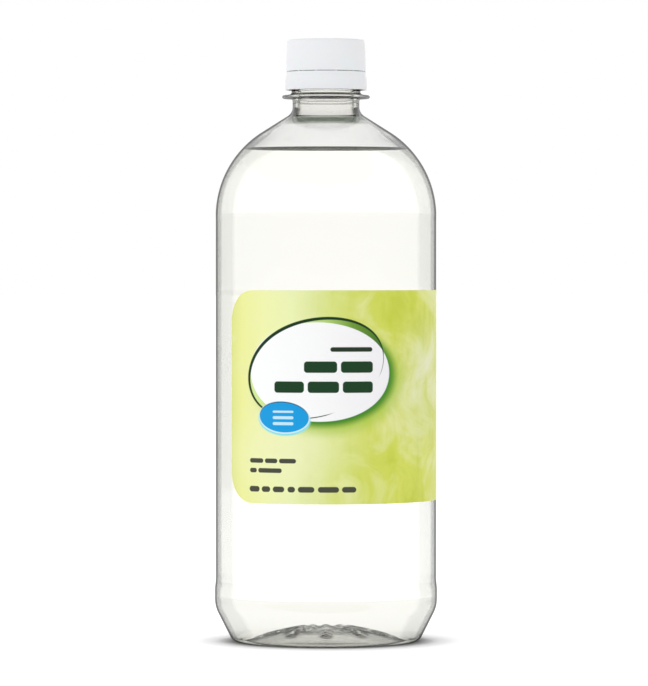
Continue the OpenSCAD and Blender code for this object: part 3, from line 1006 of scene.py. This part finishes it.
paper_white = add(tree, "ShaderNodeValToRGB", {"Fac": add(tree, "ShaderNodeMapRange", {
    "Value": across.outputs["X"], "From Min": -30.0, "From Max": 25.0}).outputs["Result"]},
    stops=[(0.0, paint("ffffff")), (1.0, paint("f6f4f7")),
           (0.45, paint("fdfdfd"))]).outputs["Color"]
colour = lay(colour, paper_white, oval(*WHITE_OVAL))
line = both(oval(*SWASH_OUT), oval(*SWASH_IN), "SUBTRACT")
colour = lay(colour, "07300f", both(line, kept))
print("white oval", [2 * half for half in WHITE_OVAL[1]], "mm")

# %% [markdown]
# Words and names have no place on this part. Plain bars stand where they would be, as
# in a layout before its text is set.

# %% Bars
DARK_INK = "1d2f1d"
GREEN_INK = "0b3a19"
SMALL_INK = "46483a"

BARS = [
    (DARK_INK, 57.1, 1.7, [(1.6, 17.6)]),
    (GREEN_INK, 50.6, 4.2, [(-8.2, 4.1), (5.5, 17.8)]),
    (GREEN_INK, 43.2, 4.2, [(-19.8, -8.2), (-6.8, 4.8), (6.2, 17.8)]),
    (SMALL_INK, 15.9, 1.7, [(-30.9, -24.6), (-23.9, -18.6), (-17.9, -11.2)]),
    (SMALL_INK, 12.3, 1.7, [(-30.9, -27.6), (-26.9, -16.8)]),
    (SMALL_INK, 5.4, 2.1, [(-31.1, -26.3), (-25.3, -21.6), (-20.5, -15.8), (-14.5, -11.6),
                           (-10.5, -4.3), (-3.0, 4.8), (5.9, 11.3)]),
]
for ink, middle, thick_mm, words in BARS:
    for left, right in words:
        colour = lay(colour, ink, bar(left, right, middle, thick_mm))
print("bars:", sum(len(words) for *_, words in BARS))

# %% [markdown]
# The small blue oval lies over the white one. A pale rim and a dark line under its upper
# edge are the same oval, a little larger or moved, laid first.

# %% Blue oval
BLUE_CENTRE = (-16.3, 32.0)
BLUE_TILT = -3.7
BLUE_BARS = (-20.5, -12.2)

blue_x, blue_y = BLUE_CENTRE
colour = lay(colour, "8fe3ea", oval((blue_x + 0.1, blue_y - 0.75), (10.5, 6.0), BLUE_TILT, 0.3))
colour = lay(colour, "d9f3fb", oval(BLUE_CENTRE, (10.3, 6.0), BLUE_TILT, 0.2))
colour = lay(colour, "1c4a63", oval((blue_x, blue_y + 0.25), (9.9, 5.6), BLUE_TILT))
colour = lay(colour, "0b9ee2", oval(BLUE_CENTRE, (9.85, 5.5), BLUE_TILT))
for middle, thick_mm in ((34.1, 0.8), (31.9, 1.1), (29.7, 1.1)):
    colour = lay(colour, "c9ecfb", bar(*BLUE_BARS, middle, thick_mm))
print(film.name + ":", len(tree.nodes), "nodes")

# %% [markdown]
# The film is glossy but not a mirror: the press leaves a faint orange-peel of about a
# millimetre. Its back shows the print only as a pale tint through the white underlay. The
# back is lit through the clear bottle, and a path of light seldom finds that way, so it
# is given that light as a faint glow.

# %% Film finish
PEEL_MM = 1.0
BACK_LIGHT = 0.45
MOTTLE_MM = 20

peel = add(tree, "ShaderNodeTexNoise",
           {"Vector": art, "Scale": 1 / PEEL_MM, "Detail": 2.0}).outputs["Fac"]
peel_bump = add(tree, "ShaderNodeBump", {"Height": peel, "Strength": 0.05, "Distance": 0.05 * MM})
printed = add(tree, "ShaderNodeBsdfPrincipled",
              {"Base Color": colour, "Roughness": 0.42, "IOR": 1.5, "Specular IOR Level": 0.2,
               "Normal": peel_bump.outputs["Normal"]})
tree.links.new(printed.outputs[0], surface)

underlay, tree, surface = new_material("white underlay of the film")
back = add(tree, "ShaderNodeUVMap", uv_map="artwork_mm").outputs["UV"]
mottle = add(tree, "ShaderNodeTexNoise",
             {"Vector": back, "Scale": 1 / MOTTLE_MM, "Detail": 3.0}).outputs["Fac"]
back_tint = add(tree, "ShaderNodeMix", {"Factor": mottle, 6: paint("eef0cf"), 7: paint("f3f4e2")},
                data_type="RGBA").outputs[2]
glued = add(tree, "ShaderNodeBsdfPrincipled",
            {"Base Color": back_tint, "Roughness": 0.6, "Specular IOR Level": 0.1,
             "Emission Color": back_tint, "Emission Strength": BACK_LIGHT})
tree.links.new(glued.outputs[0], surface)
label.data.materials[0] = film
label.data.materials[1] = underlay
print("label finishes:", [finish.name for finish in label.data.materials])

# %% [markdown]
# ## Hand over
#
# Each piece rides on the one body of the frame, and the frame's node that it stands for is hidden.
# Nothing here moves, so one pose is all there is.

# %% Hand over
for piece, node_name, slot_name in (
        (bottle, "bottle", "clear_plastic"), (vinegar, "vinegar", "vinegar"),
        (cap, "cap", "white_cap"), (label, "label", "label_film")):
    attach(piece, "root")
    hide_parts(node_name)
